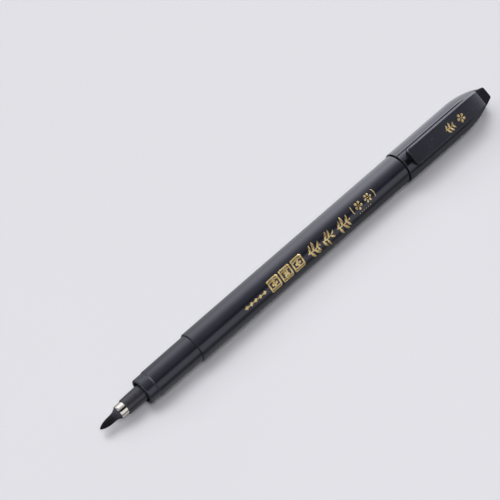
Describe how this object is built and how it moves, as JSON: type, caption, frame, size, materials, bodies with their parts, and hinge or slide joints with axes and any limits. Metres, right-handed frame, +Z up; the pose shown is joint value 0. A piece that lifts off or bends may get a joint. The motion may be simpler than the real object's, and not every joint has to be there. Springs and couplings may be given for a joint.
{
  "type": "brush pen",
  "caption": "Slim round brush pen with a pointed soft tip in a metal ferrule, a stepped grip section and a long barrel, its clipped cap posted on the tail.",
  "frame": {"origin": "middle of the posted pen's length and width, at the lowest line of the cap, where it touches the table", "axes": "+X along the pen from the brush towards the cap's closed end, +Y across, +Z up through the clip"},
  "size_m": [0.1626, 0.0108, 0.0126],
  "materials": {
    "brush_fibre": "soft synthetic tuft, soaked with black ink",
    "plated_metal": "bright warm nickel plate",
    "holder_plastic": "black, slightly satin moulding",
    "feed_fibre": "pressed fibre rod",
    "barrel_plastic": "gloss blue-black moulding",
    "reservoir_fibre": "bonded fibre, soaked with ink",
    "reservoir_film": "thin clear wrap",
    "cap_plastic": "gloss blue-black moulding",
    "inner_cap_plastic": "soft off-white moulding",
    "gold_foil": "hot-stamped metallic foil"
  },
  "bodies": {
    "barrel": {"barrel_tube": "barrel_plastic", "tail_plug": "holder_plastic", "reservoir_film": "reservoir_film", "ink_reservoir": "reservoir_fibre", "front_section": "barrel_plastic", "nib_holder": "holder_plastic", "feed_wick": "feed_fibre", "ferrule": "plated_metal", "brush_root": "brush_fibre"},
    "brush": {"brush_tip": "brush_fibre"},
    "cap": {"cap_shell": "cap_plastic", "inner_cap": "inner_cap_plastic", "clip_root": "cap_plastic"},
    "clip": {"clip_arm": "cap_plastic"}
  },
  "joints": [
    {"name": "cap_pull", "type": "slide", "parent": "barrel", "child": "cap", "axis": [1, 0, 0], "range_m": [0, 0.03]},
    {"name": "clip_flex", "type": "hinge", "parent": "cap", "child": "clip", "pos_m": [0.07085, 0, 0.01206], "axis": [0, 1, 0], "range_deg": [0, 6], "stiffness_Nm_per_rad": 0.4},
    {"name": "brush_flex", "type": "hinge", "parent": "barrel", "child": "brush", "pos_m": [-0.07645, 0, 0.00539], "axis": [0, 1, 0], "range_deg": [-35, 35], "stiffness_Nm_per_rad": 0.0003}
  ]
}
